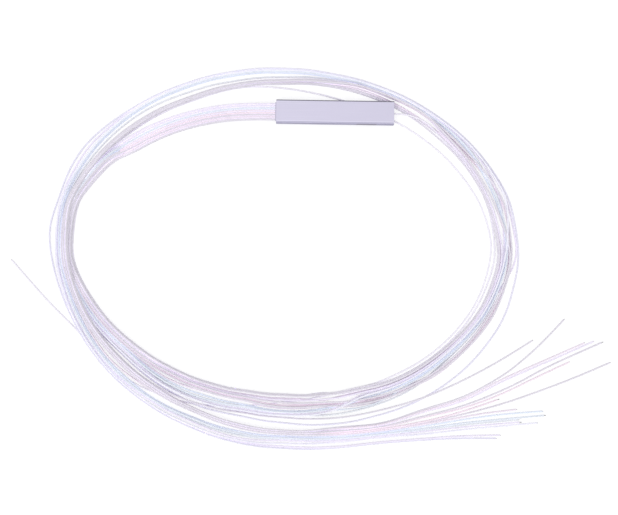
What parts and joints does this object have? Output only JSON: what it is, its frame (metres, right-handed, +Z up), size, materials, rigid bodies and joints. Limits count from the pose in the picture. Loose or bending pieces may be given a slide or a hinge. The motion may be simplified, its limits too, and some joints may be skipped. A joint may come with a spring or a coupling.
{
  "type": "plc fibre splitter",
  "caption": "Planar lightwave circuit fibre splitter in a flat steel case, with a loosely coiled input lead and a band of loose-tube output leads that end bare.",
  "frame": {"origin": "centre of the steel case", "axes": "+X along the case from the output end to the input end, +Y across the case away from the coil, +Z up out of the case's top face"},
  "size_m": [0.3083, 0.196, 0.005],
  "materials": {
    "case_steel": "satin, fine lengthwise grain",
    "end_plug": "matt",
    "loose_tube": "milky, semi-gloss",
    "silicon_chip": "polished",
    "array_glass": "polished",
    "fibre_coating": "gloss",
    "cured_glue": "gloss",
    "silicone": "matt"
  },
  "bodies": {
    "root": {"steel_case": "case_steel", "output_end_plug": "end_plug", "input_end_plug": "end_plug", "splitter_chip": "silicon_chip", "chip_lid_output": "array_glass", "chip_lid_input": "array_glass", "output_array_base": "array_glass", "output_array_lid": "array_glass", "input_array_base": "array_glass", "input_array_lid": "array_glass", "bare_output_fibres": "fibre_coating", "bare_input_fibre": "fibre_coating", "output_glue_bead": "cured_glue", "input_glue_bead": "cured_glue", "output_silicone_pad": "silicone", "input_silicone_pad": "silicone", "fibre_coil": "loose_tube", "output_lead_01": "loose_tube", "output_lead_02": "loose_tube", "output_lead_03": "loose_tube", "output_lead_04": "loose_tube", "output_lead_05": "loose_tube", "output_lead_06": "loose_tube", "output_lead_07": "loose_tube", "output_lead_08": "loose_tube", "output_lead_09": "loose_tube", "output_lead_10": "loose_tube", "output_lead_11": "loose_tube", "output_lead_12": "loose_tube", "output_lead_13": "loose_tube", "output_lead_14": "loose_tube", "output_lead_15": "loose_tube", "output_lead_16": "loose_tube", "output_tail_01": "loose_tube", "output_tail_02": "loose_tube", "output_tail_03": "loose_tube", "output_tail_04": "loose_tube", "output_tail_05": "loose_tube", "output_tail_06": "loose_tube", "output_tail_07": "loose_tube", "output_tail_08": "loose_tube", "output_tail_09": "loose_tube", "output_tail_10": "loose_tube", "output_tail_11": "loose_tube", "output_tail_12": "loose_tube", "output_tail_13": "loose_tube", "output_tail_14": "loose_tube", "output_tail_15": "loose_tube", "output_tail_16": "loose_tube", "input_lead": "loose_tube", "input_strand": "loose_tube", "input_tail": "loose_tube"}
  },
  "joints": []
}
